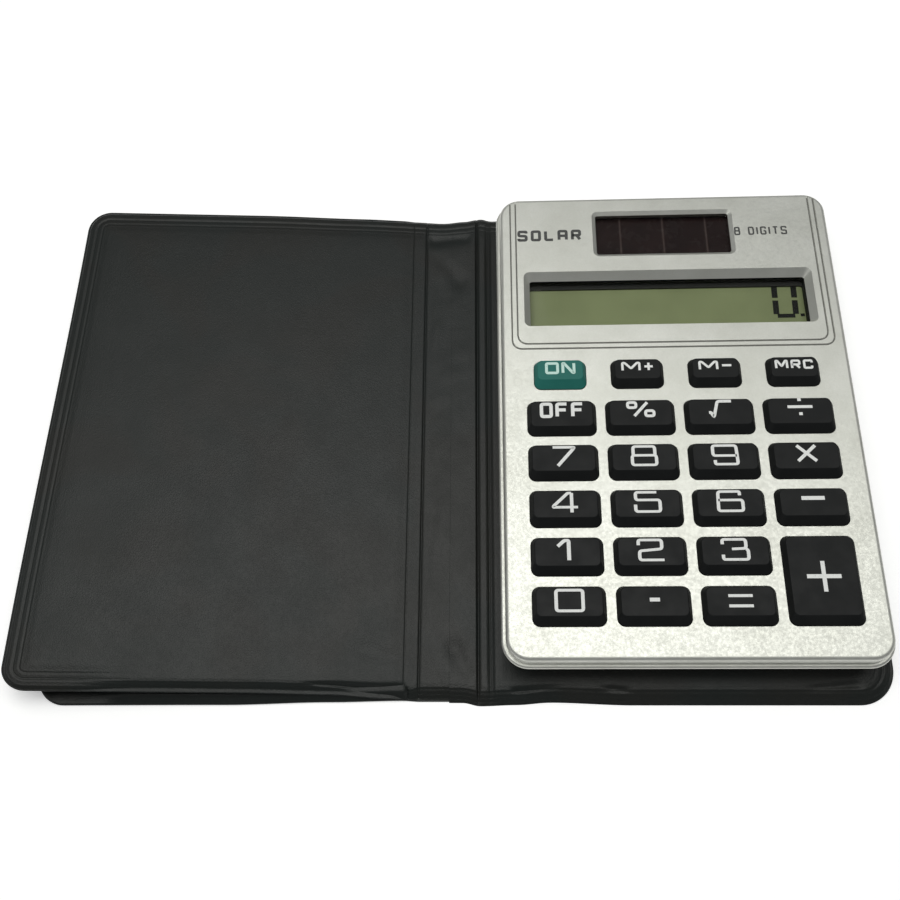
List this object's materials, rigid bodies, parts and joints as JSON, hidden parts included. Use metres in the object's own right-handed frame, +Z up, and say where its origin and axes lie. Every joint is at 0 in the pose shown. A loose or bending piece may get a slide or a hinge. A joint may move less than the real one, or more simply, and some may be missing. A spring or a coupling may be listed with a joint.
{
  "type": "pocket calculator",
  "caption": "Flat solar pocket calculator with a one-line display and a keypad, held open on a folding black vinyl wallet with a stiffened cover.",
  "frame": {"origin": "on the table plane, at the underside of the wallet's back cover, below the middle of the calculator's face", "axes": "+X to the calculator's right, with the open front cover towards -X; +Y away from the reader, from the keys to the display; +Z up, out of the face"},
  "size_m": [0.1521, 0.0989, 0.0121],
  "materials": {
    "silver_case": "silver-painted ABS, satin",
    "key_black": "moulded ABS, satin",
    "key_green": "moulded ABS, satin",
    "clear_window": "clear acrylic",
    "display_frame": "black moulded frame",
    "display_film": "polarising film",
    "display_glass": "liquid-crystal glass",
    "display_foil": "olive reflector",
    "conductive_rubber": "carbon-filled rubber",
    "dome_rubber": "grey silicone rubber",
    "solar_panel": "amorphous silicon on glass",
    "board": "phenolic paper board",
    "chip_epoxy": "epoxy drop",
    "component": "ceramic",
    "cell_steel": "nickel-plated steel",
    "contact_metal": "nickel-plated spring steel",
    "screw_steel": "zinc-plated steel",
    "foam_tape": "double-sided adhesive tape",
    "wallet_vinyl": "soft black vinyl, satin",
    "card_board": "grey board"
  },
  "bodies": {
    "calculator": {"back_cover_card": "card_board", "back_cover_inner_vinyl": "wallet_vinyl", "back_cover_outer_vinyl": "wallet_vinyl", "board_screws": "screw_steel", "bottom_case": "silver_case", "button_cell": "cell_steel", "capacitor": "component", "case_screws": "screw_steel", "chip": "chip_epoxy", "contact_negative": "contact_metal", "contact_positive": "contact_metal", "display_connector": "conductive_rubber", "display_front_glass": "display_glass", "display_holder": "display_frame", "display_lens": "clear_window", "display_polariser": "display_film", "display_rear_glass": "display_glass", "display_reflector": "display_foil", "dome_sheet": "dome_rubber", "main_board": "board", "mounting_tape": "foam_tape", "resistors": "component", "solar_cell": "solar_panel", "solar_contacts": "conductive_rubber", "solar_window": "clear_window", "top_case": "silver_case"},
    "spine": {"spine_inner_vinyl": "wallet_vinyl", "spine_outer_vinyl": "wallet_vinyl"},
    "front_cover": {"front_cover_card": "card_board", "front_cover_inner_vinyl": "wallet_vinyl", "front_cover_outer_vinyl": "wallet_vinyl"},
    "key_0": {"key_0": "key_black"},
    "key_1": {"key_1": "key_black"},
    "key_2": {"key_2": "key_black"},
    "key_3": {"key_3": "key_black"},
    "key_4": {"key_4": "key_black"},
    "key_5": {"key_5": "key_black"},
    "key_6": {"key_6": "key_black"},
    "key_7": {"key_7": "key_black"},
    "key_8": {"key_8": "key_black"},
    "key_9": {"key_9": "key_black"},
    "key_divide": {"key_divide": "key_black"},
    "key_equals": {"key_equals": "key_black"},
    "key_memory_minus": {"key_memory_minus": "key_black"},
    "key_memory_plus": {"key_memory_plus": "key_black"},
    "key_memory_recall": {"key_memory_recall": "key_black"},
    "key_minus": {"key_minus": "key_black"},
    "key_multiply": {"key_multiply": "key_black"},
    "key_off": {"key_off": "key_black"},
    "key_on": {"key_on": "key_green"},
    "key_percent": {"key_percent": "key_black"},
    "key_plus": {"key_plus": "key_black"},
    "key_point": {"key_point": "key_black"},
    "key_root": {"key_root": "key_black"}
  },
  "joints": [
    {"name": "spine_fold", "type": "hinge", "parent": "calculator", "child": "spine", "pos_m": [-0.0348, 0, 0.00035], "axis": [0, 1, 0], "range_deg": [0, 90]},
    {"name": "cover_fold", "type": "hinge", "parent": "spine", "child": "front_cover", "pos_m": [-0.0479, 0, 0.00035], "axis": [0, 1, 0], "range_deg": [0, 86]},
    {"name": "key_0_press", "type": "slide", "parent": "calculator", "child": "key_0", "axis": [0, 0, -1], "range_m": [0, 0.0008], "stiffness_N_per_m": 800, "springref_m": -0.0005, "deforming": ["dome_sheet"]},
    {"name": "key_1_press", "type": "slide", "parent": "calculator", "child": "key_1", "axis": [0, 0, -1], "range_m": [0, 0.0008], "stiffness_N_per_m": 800, "springref_m": -0.0005, "deforming": ["dome_sheet"]},
    {"name": "key_2_press", "type": "slide", "parent": "calculator", "child": "key_2", "axis": [0, 0, -1], "range_m": [0, 0.0008], "stiffness_N_per_m": 800, "springref_m": -0.0005, "deforming": ["dome_sheet"]},
    {"name": "key_3_press", "type": "slide", "parent": "calculator", "child": "key_3", "axis": [0, 0, -1], "range_m": [0, 0.0008], "stiffness_N_per_m": 800, "springref_m": -0.0005, "deforming": ["dome_sheet"]},
    {"name": "key_4_press", "type": "slide", "parent": "calculator", "child": "key_4", "axis": [0, 0, -1], "range_m": [0, 0.0008], "stiffness_N_per_m": 800, "springref_m": -0.0005, "deforming": ["dome_sheet"]},
    {"name": "key_5_press", "type": "slide", "parent": "calculator", "child": "key_5", "axis": [0, 0, -1], "range_m": [0, 0.0008], "stiffness_N_per_m": 800, "springref_m": -0.0005, "deforming": ["dome_sheet"]},
    {"name": "key_6_press", "type": "slide", "parent": "calculator", "child": "key_6", "axis": [0, 0, -1], "range_m": [0, 0.0008], "stiffness_N_per_m": 800, "springref_m": -0.0005, "deforming": ["dome_sheet"]},
    {"name": "key_7_press", "type": "slide", "parent": "calculator", "child": "key_7", "axis": [0, 0, -1], "range_m": [0, 0.0008], "stiffness_N_per_m": 800, "springref_m": -0.0005, "deforming": ["dome_sheet"]},
    {"name": "key_8_press", "type": "slide", "parent": "calculator", "child": "key_8", "axis": [0, 0, -1], "range_m": [0, 0.0008], "stiffness_N_per_m": 800, "springref_m": -0.0005, "deforming": ["dome_sheet"]},
    {"name": "key_9_press", "type": "slide", "parent": "calculator", "child": "key_9", "axis": [0, 0, -1], "range_m": [0, 0.0008], "stiffness_N_per_m": 800, "springref_m": -0.0005, "deforming": ["dome_sheet"]},
    {"name": "key_divide_press", "type": "slide", "parent": "calculator", "child": "key_divide", "axis": [0, 0, -1], "range_m": [0, 0.0008], "stiffness_N_per_m": 800, "springref_m": -0.0005, "deforming": ["dome_sheet"]},
    {"name": "key_equals_press", "type": "slide", "parent": "calculator", "child": "key_equals", "axis": [0, 0, -1], "range_m": [0, 0.0008], "stiffness_N_per_m": 800, "springref_m": -0.0005, "deforming": ["dome_sheet"]},
    {"name": "key_memory_minus_press", "type": "slide", "parent": "calculator", "child": "key_memory_minus", "axis": [0, 0, -1], "range_m": [0, 0.0008], "stiffness_N_per_m": 800, "springref_m": -0.0005, "deforming": ["dome_sheet"]},
    {"name": "key_memory_plus_press", "type": "slide", "parent": "calculator", "child": "key_memory_plus", "axis": [0, 0, -1], "range_m": [0, 0.0008], "stiffness_N_per_m": 800, "springref_m": -0.0005, "deforming": ["dome_sheet"]},
    {"name": "key_memory_recall_press", "type": "slide", "parent": "calculator", "child": "key_memory_recall", "axis": [0, 0, -1], "range_m": [0, 0.0008], "stiffness_N_per_m": 800, "springref_m": -0.0005, "deforming": ["dome_sheet"]},
    {"name": "key_minus_press", "type": "slide", "parent": "calculator", "child": "key_minus", "axis": [0, 0, -1], "range_m": [0, 0.0008], "stiffness_N_per_m": 800, "springref_m": -0.0005, "deforming": ["dome_sheet"]},
    {"name": "key_multiply_press", "type": "slide", "parent": "calculator", "child": "key_multiply", "axis": [0, 0, -1], "range_m": [0, 0.0008], "stiffness_N_per_m": 800, "springref_m": -0.0005, "deforming": ["dome_sheet"]},
    {"name": "key_off_press", "type": "slide", "parent": "calculator", "child": "key_off", "axis": [0, 0, -1], "range_m": [0, 0.0008], "stiffness_N_per_m": 800, "springref_m": -0.0005, "deforming": ["dome_sheet"]},
    {"name": "key_on_press", "type": "slide", "parent": "calculator", "child": "key_on", "axis": [0, 0, -1], "range_m": [0, 0.0008], "stiffness_N_per_m": 800, "springref_m": -0.0005, "deforming": ["dome_sheet"]},
    {"name": "key_percent_press", "type": "slide", "parent": "calculator", "child": "key_percent", "axis": [0, 0, -1], "range_m": [0, 0.0008], "stiffness_N_per_m": 800, "springref_m": -0.0005, "deforming": ["dome_sheet"]},
    {"name": "key_plus_press", "type": "slide", "parent": "calculator", "child": "key_plus", "axis": [0, 0, -1], "range_m": [0, 0.0008], "stiffness_N_per_m": 800, "springref_m": -0.0005, "deforming": ["dome_sheet"]},
    {"name": "key_point_press", "type": "slide", "parent": "calculator", "child": "key_point", "axis": [0, 0, -1], "range_m": [0, 0.0008], "stiffness_N_per_m": 800, "springref_m": -0.0005, "deforming": ["dome_sheet"]},
    {"name": "key_root_press", "type": "slide", "parent": "calculator", "child": "key_root", "axis": [0, 0, -1], "range_m": [0, 0.0008], "stiffness_N_per_m": 800, "springref_m": -0.0005, "deforming": ["dome_sheet"]}
  ]
}
